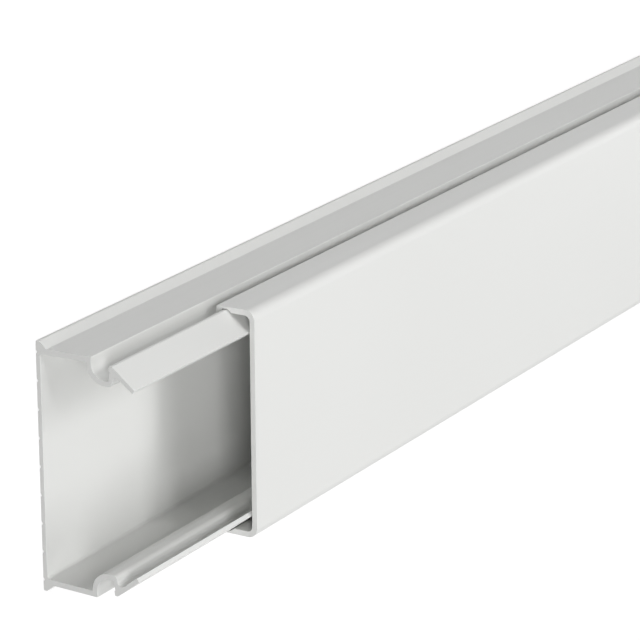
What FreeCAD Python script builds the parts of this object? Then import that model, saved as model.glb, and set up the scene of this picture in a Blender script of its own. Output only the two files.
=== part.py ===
import FreeCAD, Part
import math
import os
from FreeCAD import Vector

# Surface raceway for cords: an extruded channel that is fixed to a wall by its flat back,
# and an extruded cover that clips over its open side.
# X runs along the length, Y across the width, Z from the wall face outwards.
# The origin is on the back face, in the middle of the length and of the width.
# Lengths are in millimetres and angles in degrees.

# Stock and trade size
raceway_length = 1000.0
cover_setback = 50.0        # the cover's near end stands this far in from the base's near end
cover_width = 60.0
cover_height = 30.0         # front of the cover, from the wall face

# Cover
cover_thickness = 1.5
cover_corner_radius = 2.8
cover_inner_radius = 1.5
leg_seat_depth = 0.8        # recess inside a flange for the tip of the base's leg
hook_thickness = 1.65
hook_reach = 2.0            # a hook stands in this far from the bottom of the seat

# Base: back and lips
back_thickness = 1.2
lip_overhang = 1.75         # a lip stands out this far past the foot of the side wall
lip_height = 3.1            # where the lip's slope meets the side wall
lip_edge_height = 1.0       # flat outer edge of a lip

# V grooves in the back face, which hold the glue
glue_groove_pitch = 7.3
glue_groove_width = 1.0
glue_groove_depth = 0.4
glue_groove_margin = 2.5    # least distance from a groove to a lip's edge

# Base: side walls
side_thickness = 1.5
side_splay = 1.4            # outwards lean
shoulder_proud = 0.65       # the shoulder at a wall's head stands out this far past the cover
shoulder_width = 1.95       # flat shoulder, from the wall's outer face to the start of the arch

# Base: arch round the outward-facing groove, and the leg that closes it at the front
groove_radius = 3.4
groove_floor_width = 1.15   # flat floor between the arch and the leg
arch_thickness = 1.4
leg_thickness = 1.35
leg_lean = 8.0
leg_tip_thickness = 0.86    # the wing's outer face cuts across the leg's tip
barb_length = 1.35          # along the leg, at its tip, on the groove's side
barb_depth = 0.3            # the leg is thinner by this between the barb and the groove's floor

# Base: wing that leans in over the channel
wing_length = 8.0
wing_thickness = 1.2
wing_angle = 52.0           # from the direction across the width

# Fits between the cover and the base
seat_clearance = 0.15       # leg tip to the bottom of its seat
seat_margin = 0.25          # the seat reaches this far past the leg before its side slants in
hook_clearance = 0.25       # hook to the leg
wing_tip_clearance = 0.3    # wing tip to the inside of the cover's front

# Edge rounding
lip_radius = 0.3
edge_radius = 0.15          # shoulders, legs and wing tips
hook_radius = 0.5
inside_corner_radius = 0.8  # between the back and the side walls
arch_corner_radius = 1.2
valley_radius = 1.3         # between a leg and its wing, on the channel side

# Places across the width, for the half on the +Y side.
half_cover = cover_width / 2.0
flange_inside = half_cover - cover_thickness
seat_face = flange_inside + leg_seat_depth
leg_tip = seat_face - seat_clearance
barb_start = leg_tip - barb_length
hook_end = seat_face - hook_reach
head_outer = half_cover + shoulder_proud
axis_y = head_outer - shoulder_width
groove_deepest = axis_y - groove_radius
arch_top = groove_deepest - arch_thickness

# Slopes
splay = math.tan(math.radians(side_splay))
lean = math.tan(math.radians(leg_lean))
wing_rise = math.sin(math.radians(wing_angle))
wing_inward = math.cos(math.radians(wing_angle))

# Heights from the wall face, stacked down from the front of the cover.
front_inside = cover_height - cover_thickness
wing_root_height = front_inside - wing_tip_clearance - wing_length * wing_rise
leg_tip_height = wing_root_height - leg_tip_thickness
leg_root_height = leg_tip_height - (leg_tip - groove_deepest) * lean
axis_z = leg_root_height - groove_floor_width
shoulder_height = axis_z - groove_radius
shoulder_inside = shoulder_height - arch_thickness

# The side wall leans out from its foot to its head.
foot_outer = head_outer - (shoulder_height - lip_height) * splay
wall_at_back = foot_outer - lip_height * splay
foot_inner = wall_at_back + back_thickness * splay - side_thickness
head_inner = wall_at_back + shoulder_inside * splay - side_thickness
half_base = foot_outer + lip_overhang
near_end = -raceway_length / 2.0


def leg_face(y):
    """Height of the barb's groove-side face, and of its line along the leg."""
    return leg_root_height + (y - groove_deepest) * lean


def recess(y):
    """Place on the leg's groove side behind the barb, where the leg is thinner."""
    return (y, leg_face(y) + barb_depth)


def leg_back(y):
    """Height of the leg's channel-side face at a place across the width."""
    return leg_face(y) + leg_thickness


def on_wing(distance, depth):
    """Place on the wing: from its root along its outer face, then into its thickness."""
    return (leg_tip - distance * wing_inward - depth * wing_rise,
            wing_root_height + distance * wing_rise - depth * wing_inward)


def valley():
    """Place where the wing's inner face meets the leg's channel-side face."""
    y, z = on_wing(0.0, wing_thickness)
    distance = (leg_back(y) - z) / (wing_rise + wing_inward * lean)
    return on_wing(distance, wing_thickness)


def outline(points):
    """Face of a closed outline given as (y, z) corners."""
    corners = [Vector(near_end, y, z) for y, z in points]
    return Part.Face(Part.makePolygon(corners + [corners[0]]))


def disc(y, z, radius):
    circle = Part.makeCircle(radius, Vector(near_end, y, z), Vector(1, 0, 0))
    return Part.Face(Part.Wire(circle))


def extruded(section, start=0.0):
    """Bar of the given section, from a start along the length to the far end."""
    bar = section.extrude(Vector(raceway_length - start, 0, 0))
    bar.translate(Vector(start, 0, 0))
    return bar


def both_halves(half):
    other = half.mirror(Vector(0, 0, 0), Vector(0, 1, 0))
    return half.fuse(other).removeSplitter()


def rounded(bar, places, radius):
    """Rounds the lengthwise edges through the (y, z) places and their mirror images."""
    edges = []
    for edge in bar.Edges:
        first, last = edge.Vertexes[0].Point, edge.Vertexes[-1].Point
        if abs(first.x - last.x) < 1.0:
            continue
        for y, z in places:
            if abs(abs(first.y) - y) < 0.01 and abs(first.z - z) < 0.01:
                edges.append(edge)
    return bar.makeFillet(radius, edges)


def back_and_lip():
    middle = foot_outer - side_thickness / 2.0
    return outline([(0, 0), (half_base, 0), (half_base, lip_edge_height), (foot_outer, lip_height),
                    (middle, lip_height), (middle, back_thickness), (0, back_thickness)])


def side_wall():
    """Leaning wall with the flat shoulder at its head."""
    return outline([(wall_at_back, 0), (head_outer, shoulder_height), (axis_y, shoulder_height),
                    (axis_y, shoulder_inside), (head_inner, shoulder_inside),
                    (wall_at_back - side_thickness, 0)])


def arch():
    """Quarter ring that turns from the shoulder towards the front round the groove's axis."""
    outer = groove_radius + arch_thickness
    ring = disc(axis_y, axis_z, outer).cut(disc(axis_y, axis_z, groove_radius))
    quarter = outline([(axis_y - outer, axis_z - outer), (axis_y, axis_z - outer),
                       (axis_y, axis_z), (axis_y - outer, axis_z)])
    return ring.common(quarter).Faces[0]


def leg():
    """The groove's flat floor, and the leg that stands out from it and ends in a barb."""
    return outline([(arch_top, axis_z), (groove_deepest, axis_z), recess(groove_deepest),
                    recess(barb_start), (barb_start, leg_face(barb_start)),
                    (leg_tip, leg_face(leg_tip)), (leg_tip, wing_root_height),
                    valley(), (arch_top, leg_back(arch_top))])


def wing():
    return outline([on_wing(0, 0), on_wing(wing_length, 0),
                    on_wing(wing_length, wing_thickness), on_wing(0, wing_thickness)])


def glue_grooves():
    """V cutters side by side across the back face: one in the middle, the others in pairs."""
    pairs = int((half_base - glue_groove_margin) / glue_groove_pitch)
    half = glue_groove_width / 2.0
    cutters = []
    for number in range(-pairs, pairs + 1):
        y = number * glue_groove_pitch
        cutters.append(extruded(outline([(y - half, 0), (y + half, 0), (y, glue_groove_depth)])))
    return cutters


def raceway_base():
    pieces = [extruded(face) for face in (side_wall(), arch(), leg(), wing())]
    bar = both_halves(extruded(back_and_lip()).fuse(pieces).removeSplitter())
    bar = rounded(bar, [valley()], valley_radius)
    bar = rounded(bar, [(arch_top, leg_back(arch_top))], arch_corner_radius)
    bar = rounded(bar, [(foot_inner, back_thickness)], inside_corner_radius)
    bar = rounded(bar, [(half_base, 0), (half_base, lip_edge_height), (foot_outer, lip_height)],
                  lip_radius)
    bar = rounded(bar, [(head_outer, shoulder_height), (head_inner, shoulder_inside),
                        recess(groove_deepest), (barb_start, leg_face(barb_start)),
                        (leg_tip, leg_face(leg_tip)), (leg_tip, wing_root_height),
                        on_wing(wing_length, 0), on_wing(wing_length, wing_thickness)],
                  edge_radius)
    return bar.cut(glue_grooves())


def raceway_cover():
    """Front, flanges with a seat for the leg's tip, and hooks that reach into the grooves."""
    hook_front = leg_face(hook_end) - hook_clearance
    hook_rear = hook_front - hook_thickness
    slant_start = wing_root_height + seat_margin
    slant_end = slant_start + leg_seat_depth * wing_rise / wing_inward
    half = outline([(0, cover_height), (half_cover, cover_height), (half_cover, hook_rear),
                    (hook_end, hook_rear), (hook_end, hook_front), (seat_face, hook_front),
                    (seat_face, slant_start), (flange_inside, slant_end),
                    (flange_inside, front_inside), (0, front_inside)])
    bar = both_halves(extruded(half, cover_setback))
    bar = rounded(bar, [(half_cover, cover_height)], cover_corner_radius)
    bar = rounded(bar, [(flange_inside, front_inside)], cover_inner_radius)
    return rounded(bar, [(half_cover, hook_rear), (hook_end, hook_rear), (hook_end, hook_front)],
                   hook_radius)


def main():
    os.makedirs("parts", exist_ok=True)
    print("base width", round(2 * half_base, 2), "shoulder height", round(shoulder_height, 2))
    nodes = {"raceway_base": raceway_base(), "raceway_cover": raceway_cover()}
    for name, shape in nodes.items():
        solid = shape.Solids[0]
        box = solid.BoundBox
        print(name, "solids", len(shape.Solids), "valid", shape.isValid(), "faces", len(shape.Faces),
              "volume", round(shape.Volume, 1),
              "size", round(box.XLength, 2), round(box.YLength, 2), round(box.ZLength, 2))
        solid.exportStep("parts/" + name + ".step")
    shared = nodes["raceway_base"].common(nodes["raceway_cover"]).Volume
    apart = nodes["raceway_base"].distToShape(nodes["raceway_cover"])[0]
    print("shared volume", round(shared, 4), "smallest gap", round(apart, 3))


main()
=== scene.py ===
# %% [markdown]
# # A cord cover raceway
# The real object is two strips of white PVC. Each is pressed through a steel die in one long
# piece and sawn to length: a channel that is glued to the wall by its flat back, and a cover
# that clips over the open side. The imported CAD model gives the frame. Everything made here
# stands exactly where that frame has it, so the first step is to load it and to note its box.

# %% Load the frame
import math
import bmesh
import bpy
from mathutils import Matrix, Vector


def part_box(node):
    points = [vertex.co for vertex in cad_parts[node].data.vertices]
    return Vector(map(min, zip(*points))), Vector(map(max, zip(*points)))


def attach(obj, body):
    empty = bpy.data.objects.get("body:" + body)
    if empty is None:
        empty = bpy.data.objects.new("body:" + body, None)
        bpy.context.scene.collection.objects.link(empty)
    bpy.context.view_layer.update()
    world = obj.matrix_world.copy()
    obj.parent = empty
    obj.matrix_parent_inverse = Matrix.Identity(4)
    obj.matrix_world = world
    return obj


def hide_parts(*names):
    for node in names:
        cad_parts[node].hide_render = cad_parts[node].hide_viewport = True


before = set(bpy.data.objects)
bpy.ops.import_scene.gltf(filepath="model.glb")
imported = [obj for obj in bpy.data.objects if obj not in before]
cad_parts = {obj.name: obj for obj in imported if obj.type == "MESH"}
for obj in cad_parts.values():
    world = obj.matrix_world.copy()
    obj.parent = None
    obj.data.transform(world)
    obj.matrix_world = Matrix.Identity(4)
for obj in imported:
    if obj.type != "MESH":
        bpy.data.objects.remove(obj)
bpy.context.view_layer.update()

# %% [markdown]
# ## The sizes of the section
# A strip from a die has the same section all along, so the whole object is known once that
# section is. The sizes below are in millimetres, as on a die drawing. Y runs across the width
# and Z from the wall outwards. The widths start from the cover, and the heights are stacked
# down from its front, because the cover has to fit over the channel and not the other way round.

# %% Sizes in millimetres
MM = 0.001
raceway_length = 1000.0
cover_setback = 50.0
half_cover = 30.0
cover_height = 30.0
cover_thickness = 1.5
seat_depth = 0.8
hook_thickness = 1.65
hook_reach = 2.0
back_thickness = 1.2
lip_overhang = 1.75
lip_height = 3.1
lip_edge_height = 1.0
side_thickness = 1.5
side_splay = math.tan(math.radians(1.4))
shoulder_proud = 0.65
shoulder_width = 1.95
groove_radius = 3.4
groove_floor_width = 1.15
arch_thickness = 1.4
leg_thickness = 1.35
leg_lean = math.tan(math.radians(8.0))
leg_tip_thickness = 0.86
barb_length = 1.35
barb_depth = 0.3
wing_length = 8.0
wing_thickness = 1.2
wing_angle = math.radians(52.0)
seat_clearance = 0.15
seat_margin = 0.25
hook_clearance = 0.25
wing_tip_clearance = 0.3
glue_groove_pitch = 7.3
glue_groove_half = 0.5
glue_groove_depth = 0.4
glue_grooves_a_side = 4

# %% Radii in millimetres
lip_radius = 0.3
edge_radius = 0.15
inside_corner_radius = 0.8
arch_corner_radius = 1.2
valley_radius = 1.3
cover_corner_radius = 2.8
cover_inner_radius = 1.5
hook_radius = 0.5
print("the base is", raceway_length, "mm long and the cover", raceway_length - cover_setback, "mm")

# %% Places that follow from the sizes
front_inside = cover_height - cover_thickness
flange_inside = half_cover - cover_thickness
seat_face = flange_inside + seat_depth
hook_end = seat_face - hook_reach
leg_tip = seat_face - seat_clearance
barb_start = leg_tip - barb_length
head_outer = half_cover + shoulder_proud
groove_deepest = head_outer - shoulder_width - groove_radius
arch_top = groove_deepest - arch_thickness
wing_root = front_inside - wing_tip_clearance - wing_length * math.sin(wing_angle)
leg_root = wing_root - leg_tip_thickness - (leg_tip - groove_deepest) * leg_lean
shoulder_height = leg_root - groove_floor_width - groove_radius
shoulder_inside = shoulder_height - arch_thickness
foot_outer = head_outer - (shoulder_height - lip_height) * side_splay
wall_at_back = foot_outer - lip_height * side_splay
foot_inner = wall_at_back + back_thickness * side_splay - side_thickness
head_inner = wall_at_back + shoulder_inside * side_splay - side_thickness
half_base = foot_outer + lip_overhang
near_end = -raceway_length / 2
print("half the base is", round(half_base, 3), "mm wide and the shoulder",
      round(shoulder_height, 3), "mm high")

# %% [markdown]
# ## The half section as a list of corners
# The section is the same on both sides of its middle, so only the half on the +Y side is
# listed. Each corner has a place and the radius that the die gives it. The groove that the
# cover's hook drops into is an arch: with a radius of 3.4 mm at one corner and 4.8 mm at the
# other, plain corners turn into its two concentric quarter circles.


# %% Corners of the channel
def leg_face(y):
    """Height of the barb's groove side at a place across the width."""
    return leg_root + (y - groove_deepest) * leg_lean


def recess(y):
    """Place behind the barb, where the leg is thinner."""
    return (y, leg_face(y) + barb_depth)


def on_wing(distance, depth):
    """Place on the wing, from its root along the outer face and then into its thickness."""
    return (leg_tip - distance * math.cos(wing_angle) - depth * math.sin(wing_angle),
            wing_root + distance * math.sin(wing_angle) - depth * math.cos(wing_angle))


def valley():
    """Place where the wing's inner face meets the leg."""
    y, z = on_wing(0.0, wing_thickness)
    rise = math.sin(wing_angle) + math.cos(wing_angle) * leg_lean
    return on_wing((leg_face(y) + leg_thickness - z) / rise, wing_thickness)


def glue_groove_corners():
    """The V grooves in the back, from the one in the middle out to the last."""
    corners = [(0.0, glue_groove_depth, 0.0), (glue_groove_half, 0.0, 0.0)]
    for number in range(1, glue_grooves_a_side + 1):
        y = number * glue_groove_pitch
        corners += [(y - glue_groove_half, 0.0, 0.0), (y, glue_groove_depth, 0.0),
                    (y + glue_groove_half, 0.0, 0.0)]
    return corners


channel_corners = glue_groove_corners() + [
    (half_base, 0.0, lip_radius),
    (half_base, lip_edge_height, lip_radius),
    (foot_outer, lip_height, lip_radius),
    (head_outer, shoulder_height, edge_radius),
    (groove_deepest, shoulder_height, groove_radius),
    (*recess(groove_deepest), edge_radius),
    (*recess(barb_start), 0.0),
    (barb_start, leg_face(barb_start), edge_radius),
    (leg_tip, leg_face(leg_tip), edge_radius),
    (leg_tip, wing_root, edge_radius),
    (*on_wing(wing_length, 0.0), edge_radius),
    (*on_wing(wing_length, wing_thickness), edge_radius),
    (*valley(), valley_radius),
    (arch_top, leg_face(arch_top) + leg_thickness, arch_corner_radius),
    (arch_top, shoulder_inside, groove_radius + arch_thickness),
    (head_inner, shoulder_inside, edge_radius),
    (foot_inner, back_thickness, inside_corner_radius),
    (0.0, back_thickness, 0.0),
]
print("the channel's half section has", len(channel_corners), "corners")

# %% Corners of the cover
hook_front = leg_face(hook_end) - hook_clearance
hook_rear = hook_front - hook_thickness
slant_start = wing_root + seat_margin
slant_end = slant_start + seat_depth * math.tan(wing_angle)
cover_corners = [
    (0.0, cover_height, 0.0),
    (half_cover, cover_height, cover_corner_radius),
    (half_cover, hook_rear, hook_radius),
    (hook_end, hook_rear, hook_radius),
    (hook_end, hook_front, hook_radius),
    (seat_face, hook_front, 0.0),
    (seat_face, slant_start, 0.0),
    (flange_inside, slant_end, 0.0),
    (flange_inside, front_inside, cover_inner_radius),
    (0.0, front_inside, 0.0),
]
print("the cover's half section has", len(cover_corners), "corners")

# %% [markdown]
# ## From corners to a strip
# There are several ways to draw a section in Blender: a curve with a bevel, a boolean of
# boxes, or a chain of edges. The chain is closest to a drawing board. A small plane is merged
# to a single vertex, and that vertex is extruded from corner to corner. Then each corner is
# rounded with a vertex bevel, whose offset is the distance from the corner to where the arc
# starts: the radius times the tangent of half the angle by which the outline turns. Last, the
# half is mirrored, filled and drawn out along the length, as the die does.


# %% Helpers for selecting by place
def only(piece):
    """Makes the piece the one selected and active object."""
    bpy.ops.object.select_all(action="DESELECT")
    piece.select_set(True)
    bpy.context.view_layer.objects.active = piece


def pick(piece, wanted, kind="VERT"):
    """Selects the vertices, edges or faces that pass a test, in edit mode, and counts them."""
    bpy.ops.mesh.select_mode(type=kind)
    bpy.ops.mesh.select_all(action="DESELECT")
    mesh = bmesh.from_edit_mesh(piece.data)
    parts = {"VERT": mesh.verts, "EDGE": mesh.edges, "FACE": mesh.faces}[kind]
    chosen = [part for part in parts if wanted(part)]
    for part in chosen:
        part.select_set(True)
    bmesh.update_edit_mesh(piece.data)
    return len(chosen)


# %% Helpers for drawing the outline
def place(y, z, x):
    """Millimetres of the section, at a place along the length, as a point in metres."""
    return Vector((x, y, z)) * MM


def draw_outline(name, corners, x):
    """Chain of edges through the corners, made by extruding one vertex."""
    bpy.ops.object.select_all(action="DESELECT")
    bpy.ops.mesh.primitive_plane_add(size=MM)
    piece = bpy.context.object
    piece.name = piece.data.name = name
    points = [place(y, z, x) for y, z, _ in corners]
    bpy.ops.object.mode_set(mode="EDIT")
    bpy.ops.mesh.select_mode(type="VERT")
    bpy.ops.mesh.select_all(action="SELECT")
    bpy.ops.mesh.merge(type="CENTER")
    bpy.ops.transform.translate(value=points[0])
    for here, there in zip(points, points[1:]):
        bpy.ops.mesh.extrude_vertices_move(TRANSFORM_OT_translate={"value": there - here})
    bpy.ops.object.mode_set(mode="OBJECT")
    return piece


# %% Helpers for rounding the outline
touching = 0.01 * MM        # points nearer than this are the same place
round_profile = 0.5         # the bevel's setting for a circular arc


def facets(turn, radius):
    """Number of flat facets of an arc: more for a wide turn and for a large radius."""
    return max(3, round(math.degrees(turn) / 90 * (3 + 3.5 * radius)))


def round_corners(piece, corners, x):
    """Turns each corner that has a radius into an arc."""
    only(piece)
    bpy.ops.object.mode_set(mode="EDIT")
    for before, corner, after in zip(corners, corners[1:], corners[2:]):
        radius = corner[2]
        if not radius:
            continue
        arriving = place(*corner[:2], x) - place(*before[:2], x)
        leaving = place(*after[:2], x) - place(*corner[:2], x)
        turn = arriving.angle(leaving)
        here = place(*corner[:2], x)
        pick(piece, lambda vertex: (vertex.co - here).length < touching)
        bpy.ops.mesh.bevel(offset=radius * MM * math.tan(turn / 2), offset_type="OFFSET",
                           segments=facets(turn, radius), profile=round_profile,
                           affect="VERTICES", clamp_overlap=False)
    bpy.ops.object.mode_set(mode="OBJECT")


# %% Helpers for the whole section and the strip
seam_width = 0.001 * MM     # points of the two halves that are nearer than this become one


def apply_all(piece):
    """Applies the piece's modifiers, so that their result is its mesh."""
    only(piece)
    for modifier in list(piece.modifiers):
        bpy.ops.object.modifier_apply(modifier=modifier.name)


def mirror_half(piece):
    """Adds the half on the -Y side and joins the two in the middle."""
    mirror = piece.modifiers.new("other half", "MIRROR")
    mirror.use_axis = (False, True, False)
    mirror.merge_threshold = seam_width
    apply_all(piece)


def extrude_strip(piece, length):
    """Fills the outline and draws it out along the length, as the die does."""
    only(piece)
    bpy.ops.object.mode_set(mode="EDIT")
    bpy.ops.mesh.select_mode(type="EDGE")
    bpy.ops.mesh.select_all(action="SELECT")
    bpy.ops.mesh.edge_face_add()
    bpy.ops.mesh.select_mode(type="FACE")
    bpy.ops.mesh.select_all(action="SELECT")
    bpy.ops.mesh.extrude_region_move(TRANSFORM_OT_translate={"value": (length * MM, 0, 0)})
    bpy.ops.mesh.select_all(action="SELECT")
    bpy.ops.mesh.normals_make_consistent(inside=False)
    bpy.ops.object.mode_set(mode="OBJECT")


# %% [markdown]
# ## The sawn ends
# A saw leaves a flat end, and a light pass with a scraper takes the burr off its rim. A bevel
# of about a tenth of a millimetre on the rim gives the thin line of light that a real cut edge
# has. After that the faces are shaded smooth, but a flat face next to a small arc would then
# look slightly domed, so a Weighted Normal modifier gives the large faces the say.


# %% Helper for the ends
end_bevel = 0.1
end_bevel_steps = 2


def break_end_edges(piece, start, end):
    """Bevels the rims of both sawn ends."""
    only(piece)
    bpy.ops.object.mode_set(mode="EDIT")

    def on_rim(edge):
        xs = [vertex.co.x for vertex in edge.verts]
        return any(all(abs(x - stop * MM) < touching for x in xs) for stop in (start, end))

    count = pick(piece, on_rim, "EDGE")
    bpy.ops.mesh.bevel(offset=end_bevel * MM, segments=end_bevel_steps, profile=round_profile,
                       affect="EDGES", clamp_overlap=False)
    bpy.ops.object.mode_set(mode="OBJECT")
    return count


# %% Helpers for the shading and the whole way
crease_angle = math.radians(40.0)       # an edge that turns more than this stays sharp


def shade(piece):
    """Smooth shading on the arcs, while the flat faces stay flat."""
    only(piece)
    bpy.ops.object.shade_smooth_by_angle(angle=crease_angle)
    weighted = piece.modifiers.new("flat faces lead", "WEIGHTED_NORMAL")
    weighted.keep_sharp = True
    apply_all(piece)


def make_strip(name, corners, start, length):
    """The whole way from a list of corners to a finished strip."""
    piece = draw_outline(name, corners, start)
    round_corners(piece, corners, start)
    mirror_half(piece)
    extrude_strip(piece, length)
    rim = break_end_edges(piece, start, start + length)
    shade(piece)
    print(name, "has", rim // 2, "edges round its section and", len(piece.data.polygons), "faces")
    return piece


# %% Make the two strips
channel = make_strip("channel_strip", channel_corners, near_end, raceway_length)
cover = make_strip("cover_strip", cover_corners, near_end + cover_setback,
                   raceway_length - cover_setback)


# %% [markdown]
# ## The finish
# Rigid PVC for raceways is dyed white all through. The die polishes it to a satin skin with very
# faint lines along the length, and the dye leaves slow, faint changes in its white. Both come
# from noise on Object coordinates: one noise is drawn out to threads along X, for the gloss and
# the relief, and the other is broad, for the colour. The saw leaves the ends duller, with fine
# scores across the width. Nothing is painted by hand, so the finish holds from every side.


# %% Helpers for materials and their noise
def new_material(name):
    """Empty material, with its nodes and links."""
    material = bpy.data.materials.new(name)
    material.use_nodes = True
    material.node_tree.nodes.clear()
    return material, material.node_tree.nodes, material.node_tree.links


def noise_on(nodes, links, scale, squeeze=(1.0, 1.0, 1.0), detail=2.0):
    """Noise on the object's own coordinates. A squeeze under 1 draws it out along that axis."""
    coordinates = nodes.new("ShaderNodeTexCoord")
    mapping = nodes.new("ShaderNodeMapping")
    mapping.inputs["Scale"].default_value = squeeze
    noise = nodes.new("ShaderNodeTexNoise")
    noise.inputs["Scale"].default_value = scale
    noise.inputs["Detail"].default_value = detail
    links.new(coordinates.outputs["Object"], mapping.inputs["Vector"])
    links.new(mapping.outputs["Vector"], noise.inputs["Vector"])
    return noise.outputs["Fac"]


# %% Helpers for what follows the noise
noise_low, noise_high = 0.3, 0.7        # most of the noise lies between these


def map_range(nodes, links, value, start, end, low, high):
    """Value that goes from low to high while another goes from start to end."""
    spread = nodes.new("ShaderNodeMapRange")
    spread.inputs["From Min"].default_value = start
    spread.inputs["From Max"].default_value = end
    spread.inputs["To Min"].default_value = low
    spread.inputs["To Max"].default_value = high
    links.new(value, spread.inputs["Value"])
    return spread.outputs["Result"]


def between(nodes, links, noise, low, high):
    """Value that follows the noise from low to high."""
    return map_range(nodes, links, noise, noise_low, noise_high, low, high)


def colour_between(nodes, links, noise, low, high):
    """Colour that follows the noise from low to high."""
    ramp = nodes.new("ShaderNodeValToRGB")
    ramp.color_ramp.elements[0].position = noise_low
    ramp.color_ramp.elements[1].position = noise_high
    ramp.color_ramp.elements[0].color = (*low, 1.0)
    ramp.color_ramp.elements[1].color = (*high, 1.0)
    links.new(noise, ramp.inputs["Fac"])
    return ramp.outputs["Color"]


def bump(nodes, links, height, depth, strength, below=None):
    """Relief of a depth in millimetres, on top of another relief if one is given."""
    node = nodes.new("ShaderNodeBump")
    node.inputs["Strength"].default_value = strength
    node.inputs["Distance"].default_value = depth * MM
    links.new(height, node.inputs["Height"])
    if below:
        links.new(below, node.inputs["Normal"])
    return node.outputs["Normal"]


# %% Extruded skin
pvc_ior = 1.53


def extruded_pvc():
    """Satin skin as the die leaves it: faint threads along the length on a fine grain."""
    material, nodes, links = new_material("extruded_white_pvc")
    skin = nodes.new("ShaderNodeBsdfPrincipled")
    output = nodes.new("ShaderNodeOutputMaterial")
    broad = noise_on(nodes, links, scale=9.0)
    threads = noise_on(nodes, links, scale=900.0, squeeze=(0.004, 1.0, 1.0), detail=3.0)
    grain = noise_on(nodes, links, scale=2600.0)
    colour = colour_between(nodes, links, broad,
                            low=(0.752, 0.756, 0.740), high=(0.768, 0.772, 0.757))
    gloss = between(nodes, links, threads, low=0.36, high=0.46)
    lines = bump(nodes, links, threads, depth=0.012, strength=0.25)
    relief = bump(nodes, links, grain, depth=0.004, strength=0.2, below=lines)
    links.new(colour, skin.inputs["Base Color"])
    links.new(gloss, skin.inputs["Roughness"])
    links.new(relief, skin.inputs["Normal"])
    skin.inputs["IOR"].default_value = pvc_ior
    links.new(skin.outputs["BSDF"], output.inputs["Surface"])
    return material


# %% Sawn ends
def sawn_pvc():
    """Duller cut face, with the fine scores that the saw leaves across the width."""
    material, nodes, links = new_material("sawn_white_pvc")
    skin = nodes.new("ShaderNodeBsdfPrincipled")
    output = nodes.new("ShaderNodeOutputMaterial")
    scores = noise_on(nodes, links, scale=500.0, squeeze=(1.0, 0.06, 1.0), detail=3.0)
    broad = noise_on(nodes, links, scale=60.0)
    colour = colour_between(nodes, links, broad,
                            low=(0.735, 0.738, 0.724), high=(0.760, 0.763, 0.749))
    gloss = between(nodes, links, scores, low=0.5, high=0.66)
    relief = bump(nodes, links, scores, depth=0.03, strength=0.35)
    links.new(colour, skin.inputs["Base Color"])
    links.new(gloss, skin.inputs["Roughness"])
    links.new(relief, skin.inputs["Normal"])
    skin.inputs["IOR"].default_value = pvc_ior
    links.new(skin.outputs["BSDF"], output.inputs["Surface"])
    return material


# %% Give the strips their finish
facing_along = 0.99         # a normal with more X than this belongs to a sawn end


def dress(piece):
    """Extruded skin everywhere, and the sawn finish on the two flat ends."""
    piece.data.materials.append(skin_material)
    piece.data.materials.append(sawn_material)
    only(piece)
    bpy.ops.object.mode_set(mode="EDIT")
    count = pick(piece, lambda face: abs(face.normal.x) > facing_along, "FACE")
    piece.active_material_index = piece.data.materials.find(sawn_material.name)
    bpy.ops.object.material_slot_assign()
    bpy.ops.object.mode_set(mode="OBJECT")
    print(piece.name, "has", count, "sawn faces")


skin_material = extruded_pvc()
sawn_material = sawn_pvc()
dress(channel)
dress(cover)

# %% [markdown]
# ## Place in the frame
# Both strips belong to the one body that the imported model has, because the cover is clipped on
# and stays put in use. Each stands for its CAD node, which has the same shape in coarser facets.

# %% Ride and replace
for piece, node in ((channel, "raceway_base"), (cover, "raceway_cover")):
    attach(piece, "root")
    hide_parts(node)
    low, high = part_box(node)
    print(piece.name, "stands for", node, [round(v, 5) for v in (*low, *high)])

# %% [markdown]
# ## Floor and background
# The photograph is a product cut-out on white. The strip lies on a pale floor that looks white
# to the camera and in reflections, but is an ordinary matt floor to the light, so that it
# throws soft light back on the sides and keeps the strip's own shadow. The floor's own glow
# rises with the distance from the strip, where the lamps no longer reach.


# %% Rays that should see white
def seen_directly(nodes, links):
    """1 for camera, glossy and transmission rays, else 0."""
    path = nodes.new("ShaderNodeLightPath")
    total = path.outputs["Is Camera Ray"]
    for name in ("Is Glossy Ray", "Is Transmission Ray"):
        most = nodes.new("ShaderNodeMath")
        most.operation = "MAXIMUM"
        links.new(total, most.inputs[0])
        links.new(path.outputs[name], most.inputs[1])
        total = most.outputs[0]
    return total


# %% Floor
floor_size = 120.0
floor_gap = 0.05
bpy.ops.object.select_all(action="DESELECT")
bpy.ops.mesh.primitive_plane_add(size=floor_size, location=(0, 0, -floor_gap * MM))
floor = bpy.context.object
floor.name = "floor"
print("the floor lies", floor_gap, "mm under the strip")

# %% The floor as the light meets it, and as it is seen
material, nodes, links = new_material("pale_floor")
matt = nodes.new("ShaderNodeBsdfDiffuse")
matt.inputs["Color"].default_value = (0.30, 0.30, 0.30, 1.0)
pale = nodes.new("ShaderNodeBsdfDiffuse")
pale.inputs["Color"].default_value = (0.35, 0.35, 0.35, 1.0)
coordinates = nodes.new("ShaderNodeTexCoord")
distance = nodes.new("ShaderNodeVectorMath")
distance.operation = "LENGTH"
links.new(coordinates.outputs["Object"], distance.inputs[0])
near, far = 0.8, 2.5
rise = map_range(nodes, links, distance.outputs["Value"], near, far, low=0.72, high=1.0)
glow = nodes.new("ShaderNodeEmission")
links.new(rise, glow.inputs["Strength"])
seen = nodes.new("ShaderNodeAddShader")
links.new(pale.outputs["BSDF"], seen.inputs[0])
links.new(glow.outputs["Emission"], seen.inputs[1])
print("the floor's glow rises from", near, "m to", far, "m away from the middle of the strip")

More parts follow.
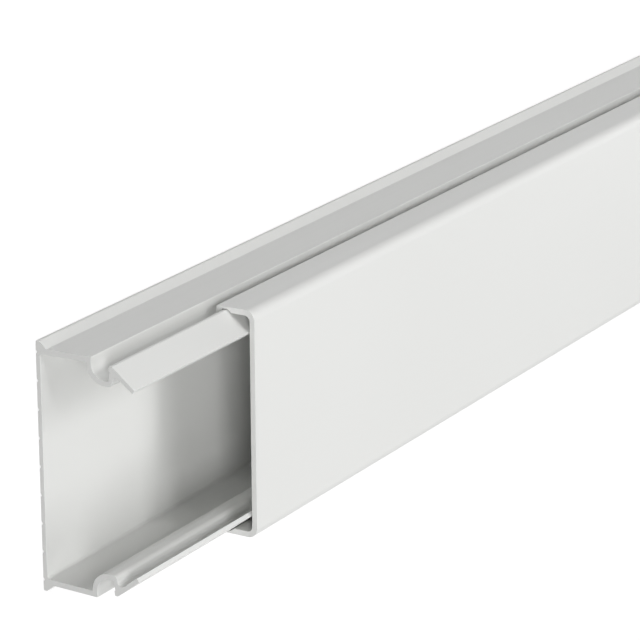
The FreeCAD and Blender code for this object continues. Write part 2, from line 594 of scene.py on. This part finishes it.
# %% The two together
choose = nodes.new("ShaderNodeMixShader")
output = nodes.new("ShaderNodeOutputMaterial")
links.new(seen_directly(nodes, links), choose.inputs["Fac"])
links.new(matt.outputs["BSDF"], choose.inputs[1])
links.new(seen.outputs["Shader"], choose.inputs[2])
links.new(choose.outputs["Shader"], output.inputs["Surface"])
floor.data.materials.append(material)
print("the floor's material is", material.name)

# %% World
ambient_strength = 0.02
full_white = (1.0, 1.0, 1.0, 1.0)
world = bpy.data.worlds.new("studio")
bpy.context.scene.world = world
world.use_nodes = True
nodes, links = world.node_tree.nodes, world.node_tree.links
nodes.clear()
ambient = nodes.new("ShaderNodeBackground")
ambient.inputs["Color"].default_value = full_white
ambient.inputs["Strength"].default_value = ambient_strength
backdrop = nodes.new("ShaderNodeBackground")
backdrop.inputs["Color"].default_value = full_white
choose = nodes.new("ShaderNodeMixShader")
output = nodes.new("ShaderNodeOutputWorld")
links.new(seen_directly(nodes, links), choose.inputs["Fac"])
links.new(ambient.outputs["Background"], choose.inputs[1])
links.new(backdrop.outputs["Background"], choose.inputs[2])
links.new(choose.outputs["Shader"], output.inputs["Surface"])
print("the world looks white, and lights the strip with a strength of", ambient_strength)

# %% [markdown]
# ## Light
# Softboxes stand round the strip in three groups, as in a product photographer's tent. Two on
# the side of the near end shine along the strip into its open end, and the channel's lower side
# wall stays in their shadow. Three in front light the cover and throw its edge onto the back of
# the channel. Three more stand low around the strip and only lift its sides. Their sizes decide
# how soft the shadows' edges are.


# %% Helper for a softbox
shown_middle = Vector((-380.0, 0.0, 15.0)) * MM     # middle of what the camera sees
lamp_distance = 3.0


def softbox(name, direction, width, height, share):
    """Area light. Share is the brightness that it alone gives a white card that faces it."""
    towards = Vector(direction).normalized()
    bpy.ops.object.select_all(action="DESELECT")
    bpy.ops.object.light_add(type="AREA", location=shown_middle + towards * lamp_distance)
    lamp = bpy.context.object
    lamp.name = name
    lamp.data.shape = "RECTANGLE"
    lamp.data.size = width
    lamp.data.size_y = height
    lamp.data.energy = share * (math.pi * lamp_distance) ** 2
    lamp.visible_camera = False
    lamp.rotation_mode = "QUATERNION"
    lamp.rotation_quaternion = towards.to_track_quat("Z", "Y")
    return lamp


# %% Softboxes
lamps = [
    softbox("side_softbox", (-0.785, 0.08, 0.614), width=1.1, height=0.75, share=0.49),
    softbox("lowered_side_softbox", (-0.772, -0.3, 0.561), width=0.7, height=1.6, share=0.145),
    softbox("front_softbox", (-0.2, 0.35, 1.0), width=0.5, height=1.6, share=0.19),
    softbox("raised_front_softbox", (0.15, 0.5, 1.0), width=0.8, height=0.8, share=0.18),
    softbox("lowered_front_softbox", (0.0, -0.35, 1.0), width=0.5, height=1.6, share=0.22),
    softbox("top_softbox", (0.15, 0.97, 0.15), width=2.2, height=0.8, share=0.25),
    softbox("low_softbox", (0.0, -0.98, 0.17), width=2.4, height=0.8, share=0.12),
    softbox("far_softbox", (0.98, 0.0, 0.17), width=1.6, height=0.8, share=0.17),
]
for lamp in lamps:
    print(lamp.name, [round(v, 2) for v in lamp.location], round(lamp.data.energy, 1), "W")

# %% [markdown]
# ## Camera
# The camera stands where the photographer's did, worked out from the parallel edges of the
# strip. The strip lies on its back here, while the photograph shows it as on a wall, so the
# camera looks down on it and is rolled: the image's upward direction is the strip's +Y side.

# %% Camera
focal_in_pixels = 3450.0
frame_width = 640.0
sensor = 36.0
camera_place = Vector((-1129.4, 292.2, 460.4)) * MM
camera_right = Vector((0.5164, -0.0062, 0.8563))
camera_up = Vector((0.2706, 0.9499, -0.1563))
camera_back = camera_right.cross(camera_up)

bpy.ops.object.select_all(action="DESELECT")
bpy.ops.object.camera_add(location=camera_place)
camera = bpy.context.object
camera.name = "photograph_camera"
axes = Matrix((camera_right, camera_up, camera_back)).transposed()
camera.rotation_mode = "QUATERNION"
camera.rotation_quaternion = axes.to_quaternion()
camera.data.sensor_width = sensor
camera.data.lens = focal_in_pixels / frame_width * sensor
camera.data.clip_start = 0.01
camera.data.clip_end = 500.0
bpy.context.scene.camera = camera
print("lens", round(camera.data.lens, 1), "mm")

# %% Colours as they are
bpy.context.scene.view_settings.view_transform = "Standard"
print("view transform:", bpy.context.scene.view_settings.view_transform)
